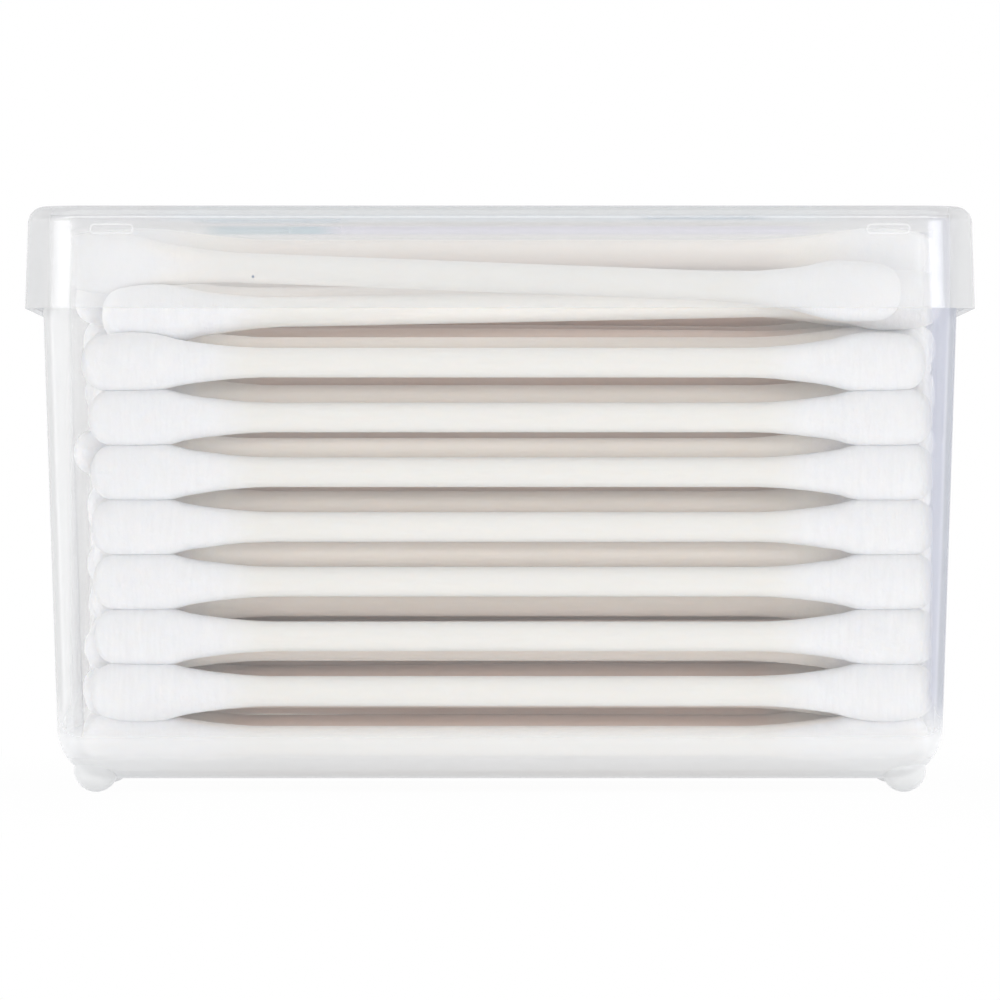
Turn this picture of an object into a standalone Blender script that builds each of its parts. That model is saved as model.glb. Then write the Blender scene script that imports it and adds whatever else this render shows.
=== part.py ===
"""Cotton swab tub: a clear moulded tub on four ball feet, its push-on lid, and the swabs that lie in it.

X runs along the swabs, -Y is the front and +Z is up. The origin is under the middle of the tub,
level with the lowest points of its feet.
"""

import math

import bmesh
import bpy
from mathutils import Matrix, Vector

MM = 0.001

# Swabs: a rolled paper stick with a wound cotton head at each end
SWAB_LENGTH = 74.4 * MM
STICK_DIAMETER = 2.5 * MM
HEAD_DIAMETER = 4.5 * MM
HEAD_LENGTH = 12.5 * MM
SWAB_GAP = 0.22 * MM
TIP_GAP = 0.3 * MM
SWAB_SIDES = 8
HEAD_OUTLINE_SHARES = ((0.0, 0.45), (0.12, 0.93), (0.42, 1.0))

# Front column: swabs stacked against the front wall, the lowest set back by the wall's foot
FRONT_STEP_BACK = 1.6 * MM
FRONT_RISE_SHARE = 1.022
FRONT_SLIDE_SHARES = (1.0, 1.0, 1.0, 0.95, 0.8, 0.7, 0.5, 0.1)

# Two crossed swabs on top of the front column, as (back, up) shares of the pitch at either end
UNDER_LEFT_SHARES = (0.47, 0.91)
UNDER_RIGHT_SHARES = (1.01, 1.19)
OVER_LEFT_SHARES = (0.82, 1.87)
OVER_RIGHT_SHARES = (0.0, 1.35)
UNDER_SLIDE_SHARE = 1.0
OVER_SLIDE_SHARE = -1.0

# Layers behind the front column, from the floor up. The short ones lie in the nooks of the wall's foot.
LAYER_COUNT = 7
SHORT_LAYERS = (1, 3)
LAYER_RISE_SHARE = 0.89
LOOSE_RISE_SHARES = {6: 0.1, 7: 0.11, 9: 0.06}
LOOSE_SHIFT_SHARES = {9: 0.15}
FIRST_PRESSED_LAYER = 2
UNPRESSED_LAYERS_ON_TOP = 2
PRESS_DEPTH = 0.34 * MM
PRESSED_HEIGHT_SHARE = 0.96
TOP_COUNT = 3
SCATTER_STEP_SHARE = 0.618

# Tub
WALL = 0.8 * MM
WALL_LEAN_DEG = 1.85
TUB_HEIGHT = 49.3 * MM
END_PLAY = 1.8 * MM
BACK_PLAY = 0.3 * MM
TUB_CORNER = 2.8 * MM
FLOOR_CORNER = 1.4 * MM
FLOOR_ROUND = 4.2 * MM
CORNER_STEPS = 4
ROUND_STEPS = 4

# Ball feet
FOOT_RADIUS = 1.95 * MM
FOOT_DROP = 1.19 * MM
FOOT_INSET = 3.25 * MM
FOOT_SIDES = 16

# Lid
LID_WALL = 0.8 * MM
SKIRT_DEPTH = 9.0 * MM
LID_CLEARANCE = 0.28 * MM
LID_REST_GAP = 0.3 * MM
LID_ROUND = 1.4 * MM

# Ribs that centre the lid on the short sides, and snap nubs near the rim's corners
RIB_FALL = 2.1 * MM
RIB_BELOW_SKIRT = 0.1 * MM
RIB_BELOW_RIM = 2.0 * MM
RIB_THICKNESS = 0.9 * MM
RIB_PLACE_SHARE = 0.55
NUB_LENGTH = 4.1 * MM
NUB_HEIGHT = 1.15 * MM
NUB_PROUD = 0.18 * MM
NUB_FLATTEN_SHARE = 0.5
NUB_BELOW_RIM = 0.95 * MM
NUB_FROM_END = 6.3 * MM
NUB_SIDES = 10

CUT_OVERRUN = 1.0 * MM
MERGE_DISTANCE = 0.01 * MM
SHARP_ANGLE = math.radians(40)

# Worked out from the sizes above
HEAD_RADIUS = HEAD_DIAMETER / 2
TIP_RADIUS = HEAD_OUTLINE_SHARES[0][1] * HEAD_RADIUS
PITCH = HEAD_DIAMETER + SWAB_GAP
REACH = HEAD_RADIUS + SWAB_GAP
LEAN = math.tan(math.radians(WALL_LEAN_DEG))
BASE = FOOT_DROP
FLOOR = BASE + WALL
RIM = BASE + TUB_HEIGHT
LID_TOP = RIM + LID_REST_GAP + LID_WALL
SKIRT_FOOT = LID_TOP - SKIRT_DEPTH
HIGHEST_AXIS = LID_TOP - LID_WALL - REACH
LID_CORNER = TUB_CORNER + 2 * LID_CLEARANCE + LID_WALL
PRESSED_HALF_WIDTH = (PITCH + PRESS_DEPTH) / 2
PRESSED_SPREAD = PRESSED_HALF_WIDTH + REACH - PITCH
FLOOR_REACH = FLOOR_ROUND - WALL
FIRST_COLUMN = FRONT_STEP_BACK + PITCH
LAST_COLUMN = FIRST_COLUMN + 2 * PRESSED_SPREAD + (LAYER_COUNT - 1) * PITCH
INNER_LENGTH = SWAB_LENGTH + END_PLAY
INNER_DEPTH = REACH + LAST_COLUMN + FLOOR_REACH + BACK_PLAY


def inner_half(size, height):
    """Half of the tub's inner length or depth at a height: the walls lean outwards."""
    return size / 2 + (height - FLOOR) * LEAN


def outer_half(size, height):
    """Half of the tub's outer length or depth at a height."""
    return inner_half(size, height) + WALL


def lid_inner_half(size, height):
    """Half of the inner length or depth of the lid's skirt, which widens downwards."""
    return outer_half(size, RIM) + LID_CLEARANCE + (RIM - height) * LEAN


def lid_outer_half(size, height):
    """Half of the outer length or depth of the lid's skirt."""
    return lid_inner_half(size, height) + LID_WALL


def clear_scene():
    """Removes whatever the file holds."""
    for thing in list(bpy.data.objects):
        bpy.data.objects.remove(thing, do_unlink=True)


def new_collection(name):
    """A collection in the scene."""
    collection = bpy.data.collections.new(name)
    bpy.context.scene.collection.children.link(collection)
    return collection


def new_material(name, colour, roughness, metallic=0.0, alpha=1.0):
    """A plain material for one kind of piece."""
    material = bpy.data.materials.new(name)
    material.use_nodes = True
    shader = material.node_tree.nodes["Principled BSDF"]
    shader.inputs["Base Color"].default_value = (*colour, 1.0)
    shader.inputs["Roughness"].default_value = roughness
    shader.inputs["Metallic"].default_value = metallic
    shader.inputs["Alpha"].default_value = alpha
    return material


def mesh_from(work, name):
    """Turns a bmesh into a smooth-shaded mesh and frees it."""
    mesh = bpy.data.meshes.new(name)
    work.to_mesh(mesh)
    work.free()
    mesh.shade_smooth()
    mesh.set_sharp_from_angle(angle=SHARP_ANGLE)
    return mesh


def add_object(name, mesh, collection, material=None):
    """An object in a collection, with its material."""
    thing = bpy.data.objects.new(name, mesh)
    collection.objects.link(thing)
    if material and not mesh.materials:
        mesh.materials.append(material)
    return thing


def add_cutter(name, mesh, collection):
    """A helper solid that is joined to, or cut from, another piece."""
    cutter = add_object(name, mesh, collection)
    cutter.hide_render = True
    cutter.display_type = "WIRE"
    return cutter


def combine(piece, helper, operation):
    """Fuses a helper solid to a piece, or cuts it from the piece."""
    step = piece.modifiers.new(helper.name, "BOOLEAN")
    step.operation = operation
    step.solver = "EXACT"
    step.object = helper


def rounded_ring(work, half_length, half_depth, corner, height):
    """One level rounded rectangle of edges, anticlockwise from above."""
    points = []
    for quarter, (side_x, side_y) in enumerate(((1, 1), (-1, 1), (-1, -1), (1, -1))):
        centre = Vector((side_x * (half_length - corner), side_y * (half_depth - corner), height))
        for step in range(CORNER_STEPS + 1):
            angle = (quarter + step / CORNER_STEPS) * math.pi / 2
            points.append(centre + corner * Vector((math.cos(angle), math.sin(angle), 0)))
    corners = [work.verts.new(point) for point in points]
    return [work.edges.new(pair) for pair in zip(corners, corners[1:] + corners[:1])]


def loft(rings, name):
    """A solid through rings of (half length, half depth, corner, height)."""
    work = bmesh.new()
    loops = [rounded_ring(work, *ring) for ring in rings]
    for lower, upper in zip(loops, loops[1:]):
        bmesh.ops.bridge_loops(work, edges=lower + upper)
    for end in (loops[0], loops[-1]):
        bmesh.ops.contextual_create(work, geom=end)
    bmesh.ops.recalc_face_normals(work, faces=work.faces)
    return mesh_from(work, name)


def tub_rings(top, wall=0):
    """Rings from the flat of the floor round the foot of the wall up to a height.

    They give the tub's outside, or the hollow that lies a wall's thickness inside it.
    """
    edge = FLOOR_ROUND - wall
    rings = []
    for step in range(ROUND_STEPS + 1):
        angle = step / ROUND_STEPS * math.pi / 2
        inset = edge * (1 - math.sin(angle))
        height = BASE + wall + edge * (1 - math.cos(angle))
        corner = TUB_CORNER - wall + (FLOOR_CORNER - TUB_CORNER) * inset / edge
        half_length = outer_half(INNER_LENGTH, height) - wall - inset
        half_depth = outer_half(INNER_DEPTH, height) - wall - inset
        rings.append((half_length, half_depth, corner, height))
    half_length = outer_half(INNER_LENGTH, top) - wall
    half_depth = outer_half(INNER_DEPTH, top) - wall
    rings.append((half_length, half_depth, TUB_CORNER - wall, top))
    return rings


def foot_mesh():
    """The ball of a foot, turned half a side so that no edge of it meets the tub's corner edges."""
    work = bmesh.new()
    bmesh.ops.create_uvsphere(work, u_segments=FOOT_SIDES, v_segments=FOOT_SIDES // 2, radius=FOOT_RADIUS)
    half_side = Matrix.Rotation(math.pi / FOOT_SIDES, 3, "Z")
    bmesh.ops.rotate(work, verts=work.verts, matrix=half_side)
    return mesh_from(work, "foot")


def rib_mesh():
    """A lid-centring rib on the +X wall: it swells out below the skirt and follows it up."""
    foot = SKIRT_FOOT - RIB_BELOW_SKIRT - RIB_FALL
    shoulder = SKIRT_FOOT - RIB_BELOW_SKIRT
    top = RIM - RIB_BELOW_RIM
    wall_face = outer_half(INNER_LENGTH, foot)
    swell = lid_inner_half(INNER_LENGTH, shoulder) - LID_CLEARANCE
    inside = wall_face - WALL / 2
    start = foot - RIB_FALL * (wall_face - inside) / (swell - wall_face)
    outline = (
        (inside, start),
        (swell, shoulder),
        (lid_inner_half(INNER_LENGTH, top) - LID_CLEARANCE, top),
        (inside, top),
    )
    work = bmesh.new()
    face = work.faces.new([work.verts.new((x, -RIB_THICKNESS / 2, z)) for x, z in outline])
    grown = bmesh.ops.extrude_face_region(work, geom=[face])["geom"]
    moved = [part for part in grown if isinstance(part, bmesh.types.BMVert)]
    bmesh.ops.translate(work, verts=moved, vec=(0, RIB_THICKNESS, 0))
    bmesh.ops.recalc_face_normals(work, faces=work.faces)
    return mesh_from(work, "rib")


def nub_mesh():
    """A low capsule lying along X, flattened towards the wall that it stands on."""
    work = bmesh.new()
    radius = NUB_HEIGHT / 2
    for side in (-1, 1):
        ball = bmesh.ops.create_uvsphere(work, u_segments=NUB_SIDES, v_segments=NUB_SIDES // 2, radius=radius)
        bmesh.ops.translate(work, verts=ball["verts"], vec=(side * (NUB_LENGTH / 2 - radius), 0, 0))
    bmesh.ops.delete(work, geom=work.edges[:], context="EDGES_FACES")
    hull = bmesh.ops.convex_hull(work, input=work.verts)
    inner = [part for part in hull["geom_interior"] if isinstance(part, bmesh.types.BMVert)]
    bmesh.ops.delete(work, geom=inner, context="VERTS")
    bmesh.ops.scale(work, verts=work.verts, vec=(1, NUB_FLATTEN_SHARE, 1))
    return mesh_from(work, "nub")


def make_tub(parts, cutters, material):
    """The tub: one moulding with its feet, ribs and nubs."""
    tub = add_object("tub", loft(tub_rings(RIM), "tub"), parts, material)
    foot, rib, nub = foot_mesh(), rib_mesh(), nub_mesh()
    foot_x = outer_half(INNER_LENGTH, BASE) - FOOT_INSET
    foot_y = outer_half(INNER_DEPTH, BASE) - FOOT_INSET
    nub_z = RIM - NUB_BELOW_RIM
    nub_x = outer_half(INNER_LENGTH, nub_z) - NUB_FROM_END
    nub_y = outer_half(INNER_DEPTH, nub_z) + NUB_PROUD - NUB_FLATTEN_SHARE * NUB_HEIGHT / 2
    for side_x in (-1, 1):
        for side_y in (-1, 1):
            corner = f"{'left' if side_x < 0 else 'right'}_{'front' if side_y < 0 else 'back'}"
            ball = add_cutter(f"foot_{corner}", foot, cutters)
            ball.location = (side_x * foot_x, side_y * foot_y, FOOT_RADIUS)
            fin = add_cutter(f"rib_{corner}", rib, cutters)
            fin.location.y = side_y * RIB_PLACE_SHARE * INNER_DEPTH / 2
            fin.rotation_euler.z = 0 if side_x > 0 else math.pi
            capsule = add_cutter(f"nub_{corner}", nub, cutters)
            capsule.location = (side_x * nub_x, side_y * nub_y, nub_z)
            for helper in (ball, fin, capsule):
                combine(tub, helper, "UNION")
    hollow = loft(tub_rings(RIM + CUT_OVERRUN, WALL), "tub_hollow")
    combine(tub, add_cutter("tub_hollow", hollow, cutters), "DIFFERENCE")
    return tub


def lid_rings(foot, wall=0):
    """Rings about the skirt's foot, from the flat top round its edge down to a height.

    They give the lid's outside, or the hollow that lies a wall's thickness inside it.
    """
    edge = LID_ROUND - wall
    rings = []
    for step in range(ROUND_STEPS + 1):
        angle = step / ROUND_STEPS * math.pi / 2
        inset = edge * (1 - math.sin(angle))
        height = LID_TOP - wall - edge * (1 - math.cos(angle))
        half_length = lid_outer_half(INNER_LENGTH, height) - wall - inset
        half_depth = lid_outer_half(INNER_DEPTH, height) - wall - inset
        rings.append((half_length, half_depth, LID_CORNER - wall - inset, height - SKIRT_FOOT))
    half_length = lid_outer_half(INNER_LENGTH, foot) - wall
    half_depth = lid_outer_half(INNER_DEPTH, foot) - wall
    rings.append((half_length, half_depth, LID_CORNER - wall, foot - SKIRT_FOOT))
    return rings


def make_lid(parts, cutters, material):
    """The lid, on an empty at its skirt's foot that marks the line along which it lifts."""
    lift = bpy.data.objects.new("lid_lift", None)
    lift.location.z = SKIRT_FOOT
    parts.objects.link(lift)
    lid = add_object("lid", loft(lid_rings(SKIRT_FOOT), "lid"), parts, material)
    hollow = loft(lid_rings(SKIRT_FOOT - CUT_OVERRUN, LID_WALL), "lid_hollow")
    cutter = add_cutter("lid_hollow", hollow, cutters)
    combine(lid, cutter, "DIFFERENCE")
    lid.parent = lift
    cutter.parent = lift
    return lid


def swab_outline():
    """One side of a swab as (radius, height) points, from its upper tip down to its lower tip."""
    tip = SWAB_LENGTH / 2
    head = [(swell * HEAD_RADIUS, tip - along * HEAD_LENGTH) for along, swell in HEAD_OUTLINE_SHARES]
    upper = [(0, tip), *head, (STICK_DIAMETER / 2, tip - HEAD_LENGTH)]
    lower = [(radius, -height) for radius, height in reversed(upper)]
    return upper + lower


def swab_mesh(cutters, material):
    """A swab turned about Z: the one mesh that all loose swabs share."""
    work = bmesh.new()
    line = [work.verts.new((radius, 0, height)) for radius, height in swab_outline()]
    for pair in zip(line, line[1:]):
        work.edges.new(pair)
    profile = bpy.data.meshes.new("swab_profile")
    work.to_mesh(profile)
    work.free()
    turned = add_cutter("swab_profile", profile, cutters)
    screw = turned.modifiers.new("turn", "SCREW")
    screw.steps = SWAB_SIDES
    screw.render_steps = SWAB_SIDES
    screw.use_merge_vertices = True
    screw.merge_threshold = MERGE_DISTANCE
    graph = bpy.context.evaluated_depsgraph_get()
    mesh = bpy.data.meshes.new_from_object(turned.evaluated_get(graph))
    mesh.name = "swab"
    mesh.shade_smooth()
    mesh.set_sharp_from_angle(angle=SHARP_ANGLE)
    mesh.materials.append(material)
    bpy.data.objects.remove(turned)
    return mesh


def front_line(height):
    """Where a swab's axis lies when its heads rest on the front wall at a height."""
    return REACH - inner_half(INNER_DEPTH, height)


def tip_gap(height):
    """Least gap from a swab's tip to an end wall: wider where the floor curves up into it."""
    drop = max(0, FLOOR + FLOOR_REACH - (height - TIP_RADIUS))
    return TIP_GAP + FLOOR_REACH - math.sqrt(FLOOR_REACH**2 - drop**2)


def slide(height, share):
    """How far a swab sits to the right, as a share of its play between the end walls."""
    play = inner_half(INNER_LENGTH, height) - SWAB_LENGTH / 2 - tip_gap(height)
    return play * share


def scatter(number):
    """A fixed scatter of shares from -1 to 1, which leans to the right as the pack does."""
    spread = (number * SCATTER_STEP_SHARE) % 1
    return 1 - 1.5 * spread * spread


def lay_swab(name, mesh, parts, left, right, slide_share):
    """Lays a swab along X, given (y, z) of its axis at its left and right heads."""
    arm = SWAB_LENGTH / 2 - HEAD_LENGTH / 2
    run = Vector((2 * arm, right[0] - left[0], right[1] - left[1]))
    swab = add_object(name, mesh, parts)
    middle = Vector((slide(min(left[1], right[1]), slide_share), 0, 0))
    swab.location = middle + Vector((0, (left[0] + right[0]) / 2, (left[1] + right[1]) / 2))
    swab.rotation_euler = run.to_track_quat("Z", "Y").to_euler()
    return swab


def front_places():
    """(y, z) of the swabs stacked against the front wall, with room left for two crossed ones."""
    height = FLOOR + REACH
    places = [(front_line(height) + FRONT_STEP_BACK, height)]
    height += math.sqrt(PITCH**2 - FRONT_STEP_BACK**2)
    while height + OVER_LEFT_SHARES[1] * PITCH <= HIGHEST_AXIS:
        places.append((front_line(height), height))
        height += FRONT_RISE_SHARE * PITCH
    return places


def crossed_place(height, shares):
    """(y, z) of one end of a crossed swab, from shares of the pitch back and up."""
    back, up = shares
    level = height + up * PITCH
    return (front_line(level) + back * PITCH, level)


def make_front(mesh, parts):
    """The front column, with two crossed swabs on top of it."""
    places = front_places()
    for level, place in enumerate(places):
        share = FRONT_SLIDE_SHARES[min(level, len(FRONT_SLIDE_SHARES) - 1)]
        lay_swab(f"swab_front_{level + 1}", mesh, parts, place, place, share)
    top = places[-1][1]
    crossed = (
        (UNDER_LEFT_SHARES, UNDER_RIGHT_SHARES, UNDER_SLIDE_SHARE),
        (OVER_LEFT_SHARES, OVER_RIGHT_SHARES, OVER_SLIDE_SHARE),
    )
    for number, (left, right, share) in enumerate(crossed, start=len(places) + 1):
        ends = crossed_place(top, left), crossed_place(top, right)
        lay_swab(f"swab_front_{number}", mesh, parts, *ends, share)


def layer_height(layer):
    """Height of a layer's axes: the pack loosens towards the top."""
    rises = [LAYER_RISE_SHARE + LOOSE_RISE_SHARES.get(step, 0) for step in range(1, layer + 1)]
    return FLOOR + REACH + sum(rises) * PITCH


def layer_total():
    """How many full layers lie under the few swabs that still fit below the lid."""
    layers = 1
    while layer_height(layers + 1) <= HIGHEST_AXIS:
        layers += 1
    return layers


def layer_columns(layer, count):
    """The y of each swab in a layer. Odd layers lie in the nooks of the even ones."""
    height = layer_height(layer)
    nook = PITCH / 2 if layer % 2 else 0
    start = front_line(height) + FIRST_COLUMN + nook + LOOSE_SHIFT_SHARES.get(layer, 0) * PITCH
    columns = []
    for column in range(count):
        spread = PRESSED_SPREAD * ((column > 0) + (column == count - 1))
        columns.append(start + column * PITCH + spread)
    return columns


def pressed_mesh(mesh, columns, height, name):
    """Copies of a swab side by side along X, each head flattened by its neighbours."""
    work = bmesh.new()
    widen = 2 * PRESSED_HALF_WIDTH / HEAD_DIAMETER
    stick_end = SWAB_LENGTH / 2 - HEAD_LENGTH + MERGE_DISTANCE
    for number, y in columns:
        before = len(work.verts)
        work.from_mesh(mesh)
        work.verts.ensure_lookup_table()
        offset = slide(height, scatter(number))
        for vert in work.verts[before:]:
            along, across, up = vert.co.z, vert.co.y, -vert.co.x
            if abs(along) > stick_end:
                across *= widen
                up *= PRESSED_HEIGHT_SHARE
            vert.co = (along + offset, across + y, up + height)
    return mesh_from(work, name)


def make_pressed(name, mesh, columns, height, parts, cutters):
    """The hidden middle of a layer: swabs whose heads are pressed into one another."""
    numbered = list(enumerate(columns))
    core = add_object(name, pressed_mesh(mesh, numbered[::2], height, name), parts)
    core.data.materials.clear()
    core.data.materials.append(mesh.materials[0])
    between = pressed_mesh(mesh, numbered[1::2], height, f"{name}_between")
    combine(core, add_cutter(f"{name}_between", between, cutters), "UNION")


def make_layers(mesh, parts, cutters):
    """The layers behind the front column, and the few swabs on top of them."""
    total = layer_total()
    pressed = range(FIRST_PRESSED_LAYER, total - UNPRESSED_LAYERS_ON_TOP)
    for layer in range(total):
        count = LAYER_COUNT - (layer in SHORT_LAYERS)
        height = layer_height(layer)
        columns = layer_columns(layer, count)
        loose = range(count)
        if layer in pressed:
            loose = (0, count - 1)
            make_pressed(f"swab_middle_{layer}", mesh, columns[1:-1], height, parts, cutters)
        for column in loose:
            place = (columns[column], height)
            share = scatter(layer * count + column)
            lay_swab(f"swab_layer_{layer}_{column + 1}", mesh, parts, place, place, share)
    height = layer_height(total)
    nook = PITCH / 2 + PRESSED_SPREAD
    for number, y in enumerate(layer_columns(total - 1, TOP_COUNT + 1)[:-1], start=1):
        place = (y + nook, height)
        lay_swab(f"swab_top_{number}", mesh, parts, place, place, scatter(number))


def main():
    clear_scene()
    parts = new_collection("cotton_swab_tub")
    cutters = new_collection("helpers")
    clear_plastic = new_material("clear_plastic", (0.86, 0.88, 0.9), 0.12, alpha=0.35)
    frosted_plastic = new_material("frosted_plastic", (0.88, 0.89, 0.9), 0.3, alpha=0.5)
    cotton_and_paper = new_material("cotton_and_paper", (0.9, 0.89, 0.87), 0.9)
    make_tub(parts, cutters, clear_plastic)
    make_lid(parts, cutters, frosted_plastic)
    swab = swab_mesh(cutters, cotton_and_paper)
    make_front(swab, parts)
    make_layers(swab, parts, cutters)


main()
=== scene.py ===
"""Cotton swab tub: a clear tub on ball feet, a cloudy push-on lid, and cotton swabs on paper sticks."""

import math
import random

import bpy
from mathutils import Matrix, Vector


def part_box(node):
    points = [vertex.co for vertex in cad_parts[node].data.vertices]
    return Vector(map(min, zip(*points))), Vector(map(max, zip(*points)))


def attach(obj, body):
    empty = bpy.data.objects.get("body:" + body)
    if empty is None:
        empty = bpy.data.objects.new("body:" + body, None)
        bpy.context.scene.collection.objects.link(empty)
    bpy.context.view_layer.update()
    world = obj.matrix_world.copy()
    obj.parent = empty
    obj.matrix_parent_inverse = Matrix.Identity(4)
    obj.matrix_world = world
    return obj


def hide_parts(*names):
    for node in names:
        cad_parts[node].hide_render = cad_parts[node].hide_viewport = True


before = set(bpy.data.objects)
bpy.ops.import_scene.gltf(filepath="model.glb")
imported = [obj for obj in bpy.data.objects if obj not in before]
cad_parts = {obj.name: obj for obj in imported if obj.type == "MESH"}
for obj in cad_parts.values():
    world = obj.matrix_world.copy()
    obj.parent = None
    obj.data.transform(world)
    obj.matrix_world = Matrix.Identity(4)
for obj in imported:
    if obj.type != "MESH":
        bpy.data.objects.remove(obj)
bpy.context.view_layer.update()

MM = 0.001

# Camera
# Straight in front of the tub and a little lower than its middle, far away with a long lens.

CAMERA_HEIGHT = 23.1 * MM
FRONT_SWAB_Y = -20.5 * MM
CAMERA_DISTANCE = 950 * MM
PICTURE_WIDTH = 88.0 * MM
PICTURE_MIDDLE_HEIGHT = 25.74 * MM
SENSOR_MM = 36.0

camera_data = bpy.data.cameras.new("camera")
camera_data.sensor_width = SENSOR_MM
camera_data.lens = SENSOR_MM * CAMERA_DISTANCE / PICTURE_WIDTH
camera_data.shift_y = (PICTURE_MIDDLE_HEIGHT - CAMERA_HEIGHT) / PICTURE_WIDTH
camera_data.clip_start = 10 * MM
camera_data.clip_end = 20
camera = bpy.data.objects.new("camera", camera_data)
bpy.context.scene.collection.objects.link(camera)
camera.location = (0, FRONT_SWAB_Y - CAMERA_DISTANCE, CAMERA_HEIGHT)
camera.rotation_euler = (math.radians(90), 0, 0)
bpy.context.scene.camera = camera
bpy.context.scene.view_settings.view_transform = "Standard"
bpy.context.scene.cycles.transparent_max_bounces = 32
bpy.context.scene.cycles.use_light_tree = False
bpy.context.scene.cycles.diffuse_bounces = 3

# Tub
# One clear polypropylene moulding. The walls lean outwards, their foot is rounded into the floor, and four
# balls under the corners carry it. Two ribs on each short side and a low nub near each corner of the rim
# centre and hold the lid.

WALL = 0.8 * MM
LEAN = math.tan(math.radians(1.85))
FOOT_DROP = 1.19 * MM
TUB_RIM = 50.49 * MM
TUB_HALF_LENGTH = 40.466 * MM
TUB_HALF_DEPTH = 23.051 * MM
TUB_CORNER = 2.8 * MM
FLOOR_ROUND = 4.2 * MM
FOOT_RADIUS = 1.95 * MM
FOOT_INSET = 3.25 * MM
OVERRUN = 1.0 * MM
CORNER_STEPS = 10
ROUND_STEPS = 8
FOOT_SIDES = 32
FOOT_RINGS = 20
SMOOTH_ANGLE = math.radians(38)


class Value:
    """A number socket that turns sums written in Python into Math nodes."""

    def __init__(self, finish, socket):
        self.finish = finish
        self.socket = socket

    def maths(self, operation, *values):
        return self.finish.node("ShaderNodeMath", {"operation": operation}, *values)

    def __add__(self, other):
        return self.maths("ADD", self, other)

    def __radd__(self, other):
        return self.maths("ADD", other, self)

    def __sub__(self, other):
        return self.maths("SUBTRACT", self, other)

    def __rsub__(self, other):
        return self.maths("SUBTRACT", other, self)

    def __mul__(self, other):
        return self.maths("MULTIPLY", self, other)

    def __rmul__(self, other):
        return self.maths("MULTIPLY", other, self)

    def __truediv__(self, other):
        return self.maths("DIVIDE", self, other)

    def __abs__(self):
        return self.maths("ABSOLUTE", self)

    def clipped(self, low=0.0, high=1.0):
        return self.maths("MINIMUM", self.maths("MAXIMUM", self, low), high)

    def ramp(self, start, end):
        """0 at the start and 1 at the end, with a soft run between them."""
        soft = {"interpolation_type": "SMOOTHSTEP"}
        return self.finish.node("ShaderNodeMapRange", soft, self, start, end, 0.0, 1.0)

    def within(self, low, high, soft):
        """1 from low to high, fading out over a soft width on both sides."""
        return self.ramp(low - soft, low) * (1 - self.ramp(high, high + soft))


class Finish:
    """A material, or the world, whose nodes are made one call at a time."""

    def __init__(self, owner):
        owner.use_nodes = True
        self.owner = owner
        self.tree = owner.node_tree
        self.tree.nodes.clear()

    def node(self, kind, settings, *values, out=0, **named):
        """Adds a node: its settings, then sockets by order, with None to leave one alone, or by name."""
        made = self.tree.nodes.new(kind)
        for key, value in settings.items():
            setattr(made, key, value)
        sockets = list(enumerate(values))
        sockets += [(key.replace("_", " "), value) for key, value in named.items()]
        for key, value in sockets:
            if isinstance(value, Value):
                self.tree.links.new(value.socket, made.inputs[key])
            elif value is not None:
                if isinstance(value, tuple) and made.inputs[key].type == "RGBA":
                    value = (*value, 1)
                made.inputs[key].default_value = value
        return Value(self, made.outputs[out]) if made.outputs else None

    def blend(self, share, first, second):
        """The first colour where the share is 0 and the second where it is 1."""
        skipped = (None,) * 5
        return self.node("ShaderNodeMix", {"data_type": "RGBA"}, share, *skipped, first, second, out=2)

    def place(self, scale):
        """The point on the piece, in metres of its Object coordinates, times a scale along each axis."""
        spot = self.node("ShaderNodeTexCoord", {}, out=3)
        return self.node("ShaderNodeVectorMath", {"operation": "MULTIPLY"}, spot, scale)

    def axes(self):
        """The point on the piece as three numbers, in millimetres."""
        split = self.node("ShaderNodeSeparateXYZ", {}, self.place((1000, 1000, 1000)))
        outputs = split.socket.node.outputs
        return [Value(self, outputs[axis]) for axis in range(3)]

    def noise(self, scale, detail=2.0, rough=0.5):
        """Soft noise from 0 to 1 whose grain is one over the scale, in metres, along each axis."""
        return self.node("ShaderNodeTexNoise", {}, Vector=self.place(scale), Scale=1.0, Detail=detail,
                         Roughness=rough)

    def finish_with(self, shader):
        """Ends the nodes in the output of the material or the world."""
        kind = "ShaderNodeOutputMaterial"
        if isinstance(self.owner, bpy.types.World):
            kind = "ShaderNodeOutputWorld"
        self.node(kind, {}, shader)
        return self.owner


def drawn_form(name, corner, rings):
    """A closed form drawn out of a rounded rectangle through (half length, half depth, height) rings."""
    half_length, half_depth, height = rings[0]
    bpy.ops.object.select_all(action="DESELECT")
    bpy.ops.mesh.primitive_plane_add(size=2, location=(0, 0, height))
    form = bpy.context.object
    form.name = name
    bpy.ops.object.mode_set(mode="EDIT")
    bpy.ops.mesh.select_mode(type="VERT")
    bpy.ops.mesh.select_all(action="SELECT")
    bpy.ops.transform.resize(value=(half_length, half_depth, 1), center_override=(0, 0, height))
    bpy.ops.mesh.bevel(offset=corner, segments=CORNER_STEPS, affect="VERTICES")
    bpy.ops.mesh.select_all(action="SELECT")
    for (old_x, old_y, old_z), (new_x, new_y, new_z) in zip(rings, rings[1:]):
        bpy.ops.mesh.extrude_region_move(TRANSFORM_OT_translate={"value": (0, 0, new_z - old_z)})
        bpy.ops.transform.resize(value=(new_x / old_x, new_y / old_y, 1), center_override=(0, 0, new_z))
    bpy.ops.mesh.select_all(action="SELECT")
    bpy.ops.mesh.normals_make_consistent(inside=False)
    bpy.ops.object.mode_set(mode="OBJECT")
    bpy.ops.object.transform_apply(location=True, rotation=True, scale=True)
    return form


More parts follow.
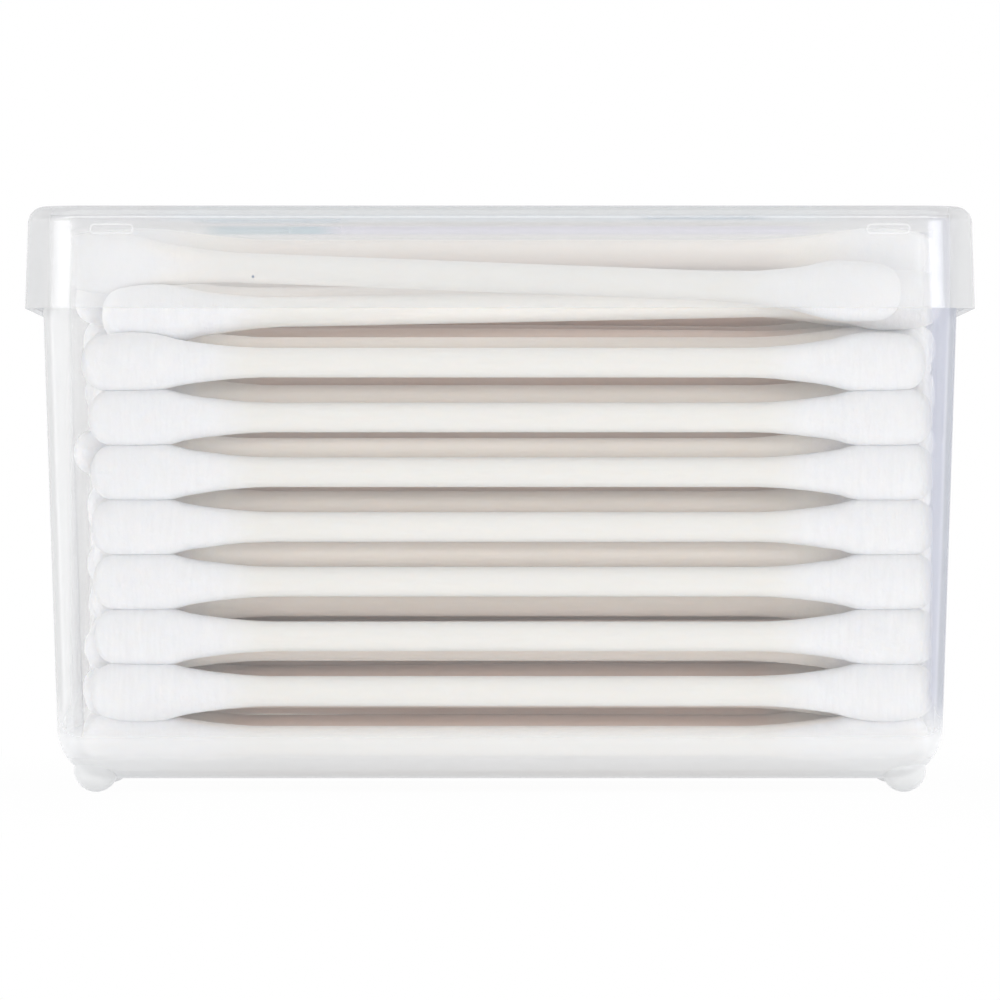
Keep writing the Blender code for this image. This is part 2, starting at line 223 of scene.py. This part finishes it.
def combine(piece, helper, operation):
    """Fuses a helper form to a piece, or cuts it from the piece, and removes the helper."""
    step = piece.modifiers.new(helper.name, "BOOLEAN")
    step.operation = operation
    step.solver = "EXACT"
    step.object = helper
    bpy.context.view_layer.objects.active = piece
    bpy.ops.object.modifier_apply(modifier=step.name)
    bpy.data.objects.remove(helper)


def tub_rings(top, wall=0.0):
    """The tub's outside from a height down to its floor, or its hollow a wall's thickness inside."""
    def half(size, height):
        return size - (TUB_RIM - height) * LEAN - wall
    edge = FLOOR_ROUND - wall
    rings = [(half(TUB_HALF_LENGTH, top), half(TUB_HALF_DEPTH, top), top)]
    for step in range(ROUND_STEPS + 1):
        angle = (1 - step / ROUND_STEPS) * math.pi / 2
        inset = edge * (1 - math.sin(angle))
        height = FOOT_DROP + wall + edge * (1 - math.cos(angle))
        rings.append((half(TUB_HALF_LENGTH, height) - inset, half(TUB_HALF_DEPTH, height) - inset, height))
    return rings


def ball(radius, spot):
    """A ball that is fused to the tub as a foot."""
    bpy.ops.object.select_all(action="DESELECT")
    bpy.ops.mesh.primitive_uv_sphere_add(segments=FOOT_SIDES, ring_count=FOOT_RINGS, radius=radius,
                                         location=spot, rotation=(0, 0, math.pi / FOOT_SIDES))
    bpy.ops.object.transform_apply(location=True, rotation=True, scale=True)
    return bpy.context.object


RIB_FOOT = 40.39 * MM
RIB_SHOULDER = 42.49 * MM
RIB_TOP = 48.49 * MM
RIB_REACH = 40.72 * MM
RIB_THICKNESS = 0.9 * MM
RIB_Y = 11.38 * MM


def rib(side, y):
    """A fin on a short side: a block cut at its shoulder, its lower outer edge drawn in to the wall."""
    inner = TUB_HALF_LENGTH - (TUB_RIM - RIB_FOOT) * LEAN - WALL / 2
    middle = (side * (RIB_REACH + inner) / 2, y, (RIB_TOP + RIB_FOOT) / 2)
    bpy.ops.object.select_all(action="DESELECT")
    bpy.ops.mesh.primitive_cube_add(size=1, location=middle,
                                    scale=(RIB_REACH - inner, RIB_THICKNESS, RIB_TOP - RIB_FOOT))
    fin = bpy.context.object
    bpy.ops.object.transform_apply(location=True, rotation=True, scale=True)
    bpy.ops.object.mode_set(mode="EDIT")
    bpy.ops.mesh.select_all(action="SELECT")
    bpy.ops.mesh.bisect(plane_co=(0, 0, RIB_SHOULDER), plane_no=(0, 0, 1))
    bpy.ops.object.mode_set(mode="OBJECT")
    for vert in fin.data.vertices:
        if abs(vert.co.x) < abs(middle[0]):
            continue
        if vert.co.z < (RIB_FOOT + RIB_SHOULDER) / 2:
            vert.co.x = side * (inner + WALL / 4)
        elif vert.co.z > (RIB_SHOULDER + RIB_TOP) / 2:
            vert.co.x = side * (RIB_REACH + (RIB_TOP - RIB_SHOULDER) * LEAN)
    return fin


NUB_LENGTH = 4.1 * MM
NUB_HEIGHT = 1.15 * MM
NUB_X = 34.1 * MM
NUB_Z = 49.54 * MM
NUB_PROUD = 0.18 * MM
NUB_FLATTEN = 0.5
NUB_SIDES = 24
NUB_RINGS = 12


def nub(spot):
    """A low capsule: a ball whose two halves are drawn apart along the rim, then flattened."""
    radius = NUB_HEIGHT / 2
    bpy.ops.object.select_all(action="DESELECT")
    bpy.ops.mesh.primitive_uv_sphere_add(segments=NUB_SIDES, ring_count=NUB_RINGS, radius=radius,
                                         rotation=(0, math.pi / 2, 0))
    capsule = bpy.context.object
    bpy.ops.object.transform_apply(location=True, rotation=True, scale=True)
    for side in (-1, 1):
        bpy.ops.object.mode_set(mode="EDIT")
        bpy.ops.mesh.select_all(action="DESELECT")
        bpy.ops.mesh.select_mode(type="VERT")
        bpy.ops.object.mode_set(mode="OBJECT")
        for vert in capsule.data.vertices:
            vert.select = vert.co.x * side > radius / 20
        bpy.ops.object.mode_set(mode="EDIT")
        bpy.ops.transform.translate(value=(side * (NUB_LENGTH / 2 - radius), 0, 0))
    bpy.ops.mesh.select_all(action="SELECT")
    bpy.ops.transform.resize(value=(1, NUB_FLATTEN, 1), center_override=(0, 0, 0))
    bpy.ops.transform.translate(value=spot)
    bpy.ops.object.mode_set(mode="OBJECT")
    return capsule


tub = drawn_form("tub_moulding", TUB_CORNER, tub_rings(TUB_RIM))
foot_x = TUB_HALF_LENGTH - (TUB_RIM - FOOT_DROP) * LEAN - FOOT_INSET
foot_y = TUB_HALF_DEPTH - (TUB_RIM - FOOT_DROP) * LEAN - FOOT_INSET
nub_y = TUB_HALF_DEPTH - (TUB_RIM - NUB_Z) * LEAN + NUB_PROUD - NUB_FLATTEN * NUB_HEIGHT / 2
for side_x in (-1, 1):
    for side_y in (-1, 1):
        combine(tub, ball(FOOT_RADIUS, (side_x * foot_x, side_y * foot_y, FOOT_RADIUS)), "UNION")
        combine(tub, rib(side_x, side_y * RIB_Y), "UNION")
        combine(tub, nub((side_x * NUB_X, side_y * nub_y, NUB_Z)), "UNION")
combine(tub, drawn_form("tub_hollow", TUB_CORNER - WALL, tub_rings(TUB_RIM + OVERRUN, WALL)), "DIFFERENCE")


def smooth(piece, angle=SMOOTH_ANGLE):
    """Shades a piece smooth, but for the edges that turn by more than an angle."""
    bpy.ops.object.select_all(action="DESELECT")
    piece.select_set(True)
    bpy.context.view_layer.objects.active = piece
    bpy.ops.object.shade_smooth_by_angle(angle=angle)


def flatten_faces(piece):
    """Gives the big flat faces straight normals, so that they mirror like flat walls."""
    weighted = piece.modifiers.new("flat_faces", "WEIGHTED_NORMAL")
    weighted.keep_sharp = True
    weighted.weight = 100
    bpy.context.view_layer.objects.active = piece
    bpy.ops.object.modifier_apply(modifier=weighted.name)


smooth(tub)
flatten_faces(tub)


def clear_with_haze(finish, amount, colour, gloss_rough, bend=1.45):
    """Plastic that lets light through, is cloudy by an amount, and mirrors softly."""
    rough = gloss_rough * (0.8 + 0.4 * finish.noise((500, 500, 120), 2.0))
    clear = finish.node("ShaderNodeBsdfTransparent", {}, (0.99, 0.99, 0.99))
    cloud = finish.node("ShaderNodeBsdfPrincipled", {}, Base_Color=colour, Roughness=0.6,
                        Specular_IOR_Level=0.0)
    through = finish.node("ShaderNodeMixShader", {}, amount.clipped(0.0, 0.97), clear, cloud)
    mirror = finish.node("ShaderNodeBsdfGlossy", {}, (0.97, 0.98, 1.0), rough)
    shine = finish.node("ShaderNodeFresnel", {}, bend).clipped(0.0, 0.4)
    return finish.finish_with(finish.node("ShaderNodeMixShader", {}, shine, through, mirror))


def tub_finish():
    """Clear polypropylene, cloudier where it is thick or seen edge-on. Places are in millimetres."""
    finish = Finish(bpy.data.materials.new("clear_polypropylene"))
    x, y, z = finish.axes()
    facing = finish.node("ShaderNodeLayerWeight", {}, 0.5, out=1)
    foot = 1 - z.ramp(2.6, 3.4)
    base = 1 - z.ramp(4.4, 6.2)
    cloud = finish.noise((90, 90, 40), 1.0) - 0.5
    corner = abs(x).ramp(36.8, 38.2) * abs(y).ramp(16.0, 20.0) * z.ramp(4.0, 9.0)
    reach = abs(x) - LEAN * z
    rim = corner * reach.ramp(37.9, 38.3)
    nub_edge = abs(y).within(23.08, 23.14, 0.015)
    amount = 0.04 + 0.3 * facing * facing + 0.3 * foot + 0.34 * corner + 0.28 * base + 0.02 * cloud
    amount = amount + 0.2 * rim + 0.5 * nub_edge
    # Painted reflection: the haze at the corners is painted light on the left and blue-grey on the right.
    corner_painted_reflection_colour = finish.blend(x.ramp(-1.0, 1.0), (0.93, 0.93, 0.93), (0.55, 0.57, 0.68))
    colour = finish.blend(corner, (0.88, 0.88, 0.88), corner_painted_reflection_colour)
    # Painted shade: the outer edges of the corners are painted darker, darkest on the right.
    rim_painted_shade_colour = finish.blend(x.ramp(-1.0, 1.0), (0.60, 0.60, 0.60), (0.33, 0.35, 0.41))
    colour = finish.blend(rim, colour, rim_painted_shade_colour)
    colour = finish.blend(nub_edge, colour, (0.97, 0.97, 0.97))
    colour = finish.blend(base, colour, (0.95, 0.95, 0.955))
    colour = finish.blend(foot, colour, (0.765, 0.772, 0.777))
    return clear_with_haze(finish, amount, colour, 0.15 + 0.2 * foot)


tub.data.materials.clear()
tub.data.materials.append(tub_finish())
# The light that the swabs pass on to one another isn't held back by the clear walls.
tub.visible_diffuse = False
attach(tub, "tub")
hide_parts("tub")

# Lid
# One cloudy polypropylene moulding with a flat top, rounded edges and a skirt that is pushed down over
# the tub's rim.

LID_TOP = 51.59 * MM
SKIRT_FOOT = 42.59 * MM
LID_WALL = 0.8 * MM
LID_CLEARANCE = 0.28 * MM
LID_ROUND = 1.4 * MM
LID_CORNER = TUB_CORNER + 2 * LID_CLEARANCE + LID_WALL


def lid_rings(foot, wall=0.0):
    """The lid's outside from a height up to its top, or its hollow a wall's thickness inside."""
    def half(size, height):
        return size + LID_CLEARANCE + LID_WALL + (TUB_RIM - height) * LEAN - wall
    edge = LID_ROUND - wall
    rings = [(half(TUB_HALF_LENGTH, foot), half(TUB_HALF_DEPTH, foot), foot)]
    for step in range(ROUND_STEPS + 1):
        angle = (1 - step / ROUND_STEPS) * math.pi / 2
        inset = edge * (1 - math.sin(angle))
        height = LID_TOP - wall - edge * (1 - math.cos(angle))
        rings.append((half(TUB_HALF_LENGTH, height) - inset, half(TUB_HALF_DEPTH, height) - inset, height))
    return rings


lid = drawn_form("lid_moulding", LID_CORNER, lid_rings(SKIRT_FOOT))
hollow = drawn_form("lid_hollow", LID_CORNER - LID_WALL, lid_rings(SKIRT_FOOT - OVERRUN, LID_WALL))
combine(lid, hollow, "DIFFERENCE")
smooth(lid)
flatten_faces(lid)


def lid_finish():
    """Cloudy polypropylene with one speck, with painted reflections in blue, teal and violet at its front
    edge. Places are in millimetres.
    """
    finish = Finish(bpy.data.materials.new("cloudy_polypropylene"))
    x, y, z = finish.axes()
    facing = finish.node("ShaderNodeLayerWeight", {}, 0.5, out=1)
    cloud = finish.noise((90, 90, 40), 1.0) - 0.5
    front = 1 - y.ramp(-23.5, -22.5)
    # Painted reflections: top is a blue tint along the top edge, and the streak, teal, violet, lower and
    # lens marks are reflection bands along the front edge.
    top = z.ramp(50.0, 50.3) * (1 - abs(x).ramp(26, 33)) * (1 - y.ramp(-22.9, -22.3))
    painted_reflection_streak = front * z.within(49.15, 49.6, 0.25)
    teal_painted_reflection = painted_reflection_streak * x.within(-24.0, -16.5, 3.0)
    violet_painted_reflection = painted_reflection_streak * x.within(-16.5, 25.0, 4.0)
    lower = front * z.within(50.05, 50.3, 0.15) * x.within(-25.0, -15.0, 2.5)
    lens = front * z.within(50.4, 50.55, 0.15) * x.within(13.5, 22.0, 2.5)
    speck = front * x.within(-21.72, -21.6, 0.08) * z.within(45.26, 45.38, 0.08)
    near_corner = abs(x).ramp(24, 35)
    corner = abs(x).ramp(39.0, 39.9) * abs(y).ramp(16.0, 20.0)
    amount = 0.24 + 0.23 * corner + 0.25 * facing * facing + 0.05 * top
    amount = amount + 0.12 * (teal_painted_reflection + violet_painted_reflection + lower + lens) + 0.6 * speck + 0.02 * cloud
    # Painted light: the haze is painted lighter towards the corners than in the middle and at the rounded
    # corners.
    colour = finish.blend(near_corner, (0.60, 0.60, 0.595), (0.66, 0.66, 0.665))
    colour = finish.blend(corner, colour, (0.60, 0.60, 0.60))
    colour = finish.blend(top, colour, (0.64, 0.69, 0.73))
    colour = finish.blend(violet_painted_reflection, colour, (0.59, 0.58, 0.65))
    colour = finish.blend(teal_painted_reflection, colour, (0.42, 0.50, 0.54))
    colour = finish.blend(lower, colour, (0.52, 0.57, 0.61))
    colour = finish.blend(lens, colour, (0.46, 0.51, 0.56))
    colour = finish.blend(speck, colour, (0.18, 0.22, 0.30))
    return clear_with_haze(finish, amount, colour, 0.22, 1.5)


lid.data.materials.clear()
lid.data.materials.append(lid_finish())
# The lid lets the lamps through to the top of the pack.
lid.visible_diffuse = lid.visible_shadow = False
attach(lid, "lid")
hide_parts("lid")

# Swabs
# Each is a rolled paper stick with a bud of cotton wound round both ends. One is modelled, and every swab
# of the pack is a copy of it, rolled about its stick by its own angle. The front row is pressed against
# the wall, and behind the second row the layers rise and sink a little, as in any filled tub.

SWAB_LENGTH = 74.4 * MM
SWAB_SIDES = 24
BUD_SMOOTH_ANGLE = math.radians(70)
# Millimetres from the tip, and the radius there.
BUD_OUTLINE = (
    (0.0, 0.45), (0.14, 0.95), (0.45, 1.45), (0.9, 1.8), (1.6, 2.06), (2.5, 2.2), (3.5, 2.26), (4.5, 2.28),
    (5.6, 2.26), (6.6, 2.2), (7.5, 2.1), (8.4, 1.96), (9.3, 1.82), (10.2, 1.7), (11.1, 1.59), (12.1, 1.48),
    (13.2, 1.38), (14.4, 1.3), (15.8, 1.25), (20.0, 1.25), (26.0, 1.25), (32.0, 1.25),
)
COTTON_END = 12.6
COTTON_FADE = 2.6


def swab_finish():
    """Bleached cotton wound across the stick, thinning out over white rolled paper.

    Deeper in the pack the colour is painted warmer and browner as painted shade, and the second row is
    painted lighter. Places are in millimetres.
    """
    finish = Finish(bpy.data.materials.new("cotton_on_paper"))
    _, y, z = finish.axes()
    along = 1000 * finish.node("ShaderNodeAttribute", {"attribute_name": "from_tip"}, out=2)
    threads = finish.noise((2600, 380, 380), 3.0, 0.65)
    fluff = finish.noise((1300, 1300, 1300), 4.0, 0.65)
    fibres = finish.noise((420, 4200, 4200), 3.0, 0.6)
    paper = (along + 2.2 * (fluff - 0.5)).ramp(COTTON_END - COTTON_FADE, COTTON_END + COTTON_FADE)
    # Painted bounce light and shade: the second row, its buds too, is painted lighter and warmer, and the
    # rows behind it browner, less so up in the lid.
    second = 1 - abs(y).ramp(17.3, 17.9)
    deep_painted_shade = 1 - abs(y).ramp(13.6, 16.0)
    deeper_painted_shade = 1 - abs(y).ramp(8.0, 12.0)
    below_lid = 1 - 0.75 * z.ramp(43.5, 46.0)
    cotton_colour = finish.blend(threads, (0.83, 0.833, 0.855), (0.945, 0.945, 0.963))
    cotton_colour = finish.blend(second * along.ramp(5.5, 10.5), cotton_colour, (0.98, 0.90, 0.84))
    paper_colour = finish.blend(fibres, (0.83, 0.818, 0.784), (0.88, 0.865, 0.836))
    paper_colour = finish.blend(second * below_lid, paper_colour, (0.985, 0.93, 0.88))
    paper_colour = finish.blend(deep_painted_shade * below_lid, paper_colour, (0.98, 0.87, 0.80))
    paper_colour = finish.blend(deeper_painted_shade * below_lid, paper_colour, (0.95, 0.77, 0.68))
    colour = finish.blend(paper, cotton_colour, paper_colour)
    height = (1 - paper) * (0.5 * threads + 0.8 * fluff) + 0.25 * paper * fibres
    normal = finish.node("ShaderNodeBump", {}, Strength=1.0, Distance=0.00015, Height=height)
    shader = finish.node("ShaderNodeBsdfPrincipled", {}, Base_Color=colour, Roughness=0.95, Normal=normal,
                         Subsurface_Weight=0.6, Subsurface_Radius=(1.0, 0.9, 0.8), Subsurface_Scale=0.0009,
                         Sheen_Weight=0.4, Sheen_Roughness=0.5, Specular_IOR_Level=0.1)
    return finish.finish_with(shader)


def one_swab():
    """A circle drawn out from tip to tip through the outline of bud, stick and bud, and closed there."""
    half = SWAB_LENGTH / 2
    rings = [(along * MM - half, radius * MM) for along, radius in BUD_OUTLINE]
    rings += [(-x, radius) for x, radius in reversed(rings)]
    (x, radius), *others = rings
    bpy.ops.object.select_all(action="DESELECT")
    bpy.ops.mesh.primitive_circle_add(vertices=SWAB_SIDES, radius=radius, fill_type="TRIFAN",
                                      location=(x, 0, 0), rotation=(0, math.pi / 2, 0))
    swab = bpy.context.object
    bpy.ops.object.transform_apply(location=True, rotation=True, scale=True)
    bpy.ops.object.mode_set(mode="EDIT")
    bpy.ops.mesh.select_mode(type="FACE")
    bpy.ops.mesh.select_all(action="SELECT")
    for new_x, new_radius in others:
        bpy.ops.mesh.extrude_region_move(TRANSFORM_OT_translate={"value": (new_x - x, 0, 0)})
        share = new_radius / radius
        bpy.ops.transform.resize(value=(1, share, share), center_override=(new_x, 0, 0))
        x, radius = new_x, new_radius
    bpy.ops.mesh.select_all(action="SELECT")
    bpy.ops.mesh.normals_make_consistent(inside=False)
    bpy.ops.object.mode_set(mode="OBJECT")
    from_tip = [half - abs(vert.co.x) for vert in swab.data.vertices]
    swab.data.attributes.new("from_tip", "FLOAT", "POINT").data.foreach_set("value", from_tip)
    cotton = swab.vertex_groups.new(name="cotton")
    for index, along in enumerate(from_tip):
        cotton.add([index], max(0.0, min(1.0, 1.5 - along / (COTTON_END * MM))), "REPLACE")
    swab.data.materials.append(swab_finish())
    smooth(swab, BUD_SMOOTH_ANGLE)
    return swab


TIP_BAND = 0.3 * MM
TIP_REACH = 1.5 * MM


def tips(node, y=None, reach=None):
    """The middles of the two tips of a swab in a CAD node, near a depth where the node holds several."""
    points = [vert.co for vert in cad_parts[node].data.vertices]
    if y is not None:
        points = [point for point in points if abs(point.y - y) < reach]
    ends = []
    for pick, side in ((min, 1), (max, -1)):
        edge = pick(point.x for point in points)
        near = [point for point in points if side * (point.x - edge) < TIP_BAND]
        low = Vector([min(point[axis] for point in near) for axis in range(3)])
        high = Vector([max(point[axis] for point in near) for axis in range(3)])
        ends.append((low + high) / 2)
    return ends


FRONT_SWELL = 1.055
PRESSED_SWELL = 0.125
PRESSED_END = 8.6 * MM
PRESSED_RUN = 2.4 * MM
LUMP_SIZE = 1.6 * MM
LUMP_HEIGHT = 0.12 * MM
LUMP_LEVEL = 0.6
PRESSED_PITCH = 4.72 * MM
PRESSED_MARGIN = 2.53 * MM
WAVE_START = -10.0 * MM
WAVE_LENGTH = 22.0 * MM
# How far a layer sinks and rises, in millimetres, by its number from the floor.
WAVE_DEPTHS = {"0": (0.0, 0.8), "8": (0.95, 0.95), "9": (1.1, 0.35)}
OTHER_WAVE = (0.95, 0.95)
SMALL_SINK = 0.12 * MM
SMALL_SHIFT = 0.15 * MM
SECOND_ROW_SINK = {"0": 0.0, "3": 0.38 * MM, "4": 0.36 * MM}
FRONT_SHIFT = {"1": 0.6 * MM, "2": 0.31 * MM, "3": 0.44 * MM, "4": 0.26 * MM}
TILT = 0.25 * MM
BOW = 0.25 * MM
PACK_SEED = 12

lumps = bpy.data.textures.new("cotton_lumps", "CLOUDS")
lumps.noise_scale = LUMP_SIZE
lumps.noise_depth = 1
master = one_swab()
dice = random.Random(PACK_SEED)


def lay_swab(name, left, right, swell=1.0, pressed=0.0, bow=0.0):
    """A copy of the swab from tip to tip: swollen or pressed taller, a little lumpy and a little bowed."""
    swab = master.copy()
    swab.data = master.data.copy()
    swab.name = name
    bpy.context.scene.collection.objects.link(swab)
    run = right - left
    turn = Vector((1, 0, 0)).rotation_difference(run).to_matrix().to_4x4()
    roll = Matrix.Rotation(dice.uniform(0, math.tau), 4, "X")
    swell_up = Matrix.Diagonal((run.length / SWAB_LENGTH, 1, swell, 1))
    swab.data.transform(swell_up @ roll)
    for vert in swab.data.vertices:
        from_tip = SWAB_LENGTH / 2 - abs(vert.co.x)
        vert.co.z *= 1 + pressed * max(0.0, min(1.0, (PRESSED_END - from_tip) / PRESSED_RUN))
        vert.co.z += bow * (1 - (2 * vert.co.x / SWAB_LENGTH) ** 2)
    swab.data.transform(Matrix.Translation((left + right) / 2) @ turn)
    displace = swab.modifiers.new("lumps", "DISPLACE")
    displace.texture = lumps
    displace.texture_coords = "LOCAL"
    displace.strength = LUMP_HEIGHT
    displace.mid_level = LUMP_LEVEL
    displace.vertex_group = "cotton"
    bpy.context.view_layer.objects.active = swab
    bpy.ops.object.modifier_apply(modifier=displace.name)
    return swab


def lay_behind(name, layer, left, right):
    """A swab behind the second row: it rides the wave of its layer, tilts and bows."""
    wave = math.sin(math.tau * (left.y - WAVE_START) / WAVE_LENGTH)
    wave *= WAVE_DEPTHS.get(layer, OTHER_WAVE)[wave > 0] * MM
    tilt = dice.uniform(-TILT, TILT) if layer != "0" else 0.0
    left = left + Vector((0, 0, wave + tilt))
    right = right + Vector((0, 0, wave - tilt))
    return lay_swab(name, left, right, bow=math.copysign(BOW, wave))


def dress(swab, *nodes):
    """Puts a finished swab in the place of its CAD nodes."""
    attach(swab, "tub")
    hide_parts(*nodes)


for name in sorted(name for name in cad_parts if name.startswith("swab_")):
    _, row_kind, layer, *column = name.split("_")
    if row_kind == "middle":
        low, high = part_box(name)
        count = round((high.y - low.y - 2 * PRESSED_MARGIN) / PRESSED_PITCH) + 1
        row = []
        for number in range(count):
            y = low.y + PRESSED_MARGIN + number * PRESSED_PITCH
            row.append(lay_behind(f"cotton_{name}_{number + 1}", layer, *tips(name, y, TIP_REACH)))
        bpy.ops.object.select_all(action="DESELECT")
        for swab in row:
            swab.select_set(True)
        bpy.context.view_layer.objects.active = row[0]
        bpy.ops.object.join()
        row[0].name = f"cotton_{name}"
        dress(row[0], name)
    elif row_kind == "layer" and column != ["1"]:
        dress(lay_behind(f"cotton_{name}", layer, *tips(name)), name)
    else:
        left, right = tips(name)
        shape, shift = (), Vector()
        if row_kind == "front":
            shape = (FRONT_SWELL, PRESSED_SWELL)
            shift.x = FRONT_SHIFT.get(layer, SMALL_SHIFT)
        elif row_kind == "layer":
            shift.z = -SECOND_ROW_SINK.get(layer, SMALL_SINK)
        dress(lay_swab(f"cotton_{name}", left + shift, right + shift, *shape), name)
bpy.data.objects.remove(master)

# Floor and light
# A white table that glows a little and keeps a faint shadow near the feet, and soft lamps on both sides,
# above, in front and behind. The last two stand lower than the table, which lets their light through, so
# that the undersides of the sticks are lit.

FLOOR_SIZE = 3.0
SHADOW_REACH = 0.16
SHADOW_SHARE = 0.035
TABLE_GLOW = 0.4
STUDIO_GLOW = 0.38
LAMP_AIM = Vector((0, 0, 0.025))


def seen_directly(finish):
    """1 for what the camera sees straight, in a mirror or through glass."""
    path = finish.node("ShaderNodeLightPath", {})
    outputs = path.socket.node.outputs
    camera_ray = Value(finish, outputs["Is Camera Ray"])
    glossy_ray = Value(finish, outputs["Is Glossy Ray"])
    through_ray = Value(finish, outputs["Is Transmission Ray"])
    return (camera_ray + glossy_ray + through_ray).clipped()


bpy.ops.object.select_all(action="DESELECT")
bpy.ops.mesh.primitive_plane_add(size=FLOOR_SIZE)
floor = bpy.context.object
floor.name = "floor"
floor.visible_shadow = False
floor_finish = Finish(bpy.data.materials.new("white_table"))
spot = floor_finish.node("ShaderNodeTexCoord", {}, out=3)
far = floor_finish.node("ShaderNodeVectorMath", {"operation": "LENGTH"}, spot, out=1)
near = 1 - (far / SHADOW_REACH).clipped()
white = floor_finish.node("ShaderNodeEmission", {}, (1, 1, 1), 1.0)
matt = floor_finish.node("ShaderNodeBsdfDiffuse", {}, (0.9, 0.9, 0.9))
glow = TABLE_GLOW + (1 - TABLE_GLOW) * seen_directly(floor_finish)
share = glow * (1 - SHADOW_SHARE * near)
table = floor_finish.node("ShaderNodeMixShader", {}, share, matt, white)
floor.data.materials.append(floor_finish.finish_with(table))

world = Finish(bpy.data.worlds.new("studio"))
bpy.context.scene.world = world.owner
strength = STUDIO_GLOW + (1 - STUDIO_GLOW) * seen_directly(world)
world.finish_with(world.node("ShaderNodeBackground", {}, (1, 1, 1), strength))


def lamp(name, place, width, height, power, mirrored=True):
    """A soft lamp that faces the middle of the tub, and shows in the gloss where it is mirrored."""
    data = bpy.data.lights.new(name, "AREA")
    data.shape = "RECTANGLE"
    data.size = width
    data.size_y = height
    data.energy = power
    light = bpy.data.objects.new(name, data)
    bpy.context.scene.collection.objects.link(light)
    light.location = place
    light.visible_glossy = mirrored
    light.rotation_euler = (LAMP_AIM - Vector(place)).to_track_quat("-Z", "Y").to_euler()


lamp("left_lamp", (-0.364, -0.656, 0.12), 0.58, 0.06, 0.8)
lamp("right_lamp", (0.311, -0.683, 0.12), 0.44, 0.06, 0.92)
lamp("front_lamp", (0, -1.25, -0.12), 0.5, 0.3, 4.0, mirrored=False)
lamp("left_side_lamp", (-0.6, 0.05, 0.1), 0.3, 0.3, 1.7, mirrored=False)
lamp("right_side_lamp", (0.6, 0.05, 0.1), 0.3, 0.3, 1.9, mirrored=False)
lamp("back_lamp", (0, 1.25, -0.12), 0.5, 0.3, 4.0, mirrored=False)
lamp("top_lamp", (0, -0.2, 0.65), 0.6, 0.4, 1.1)
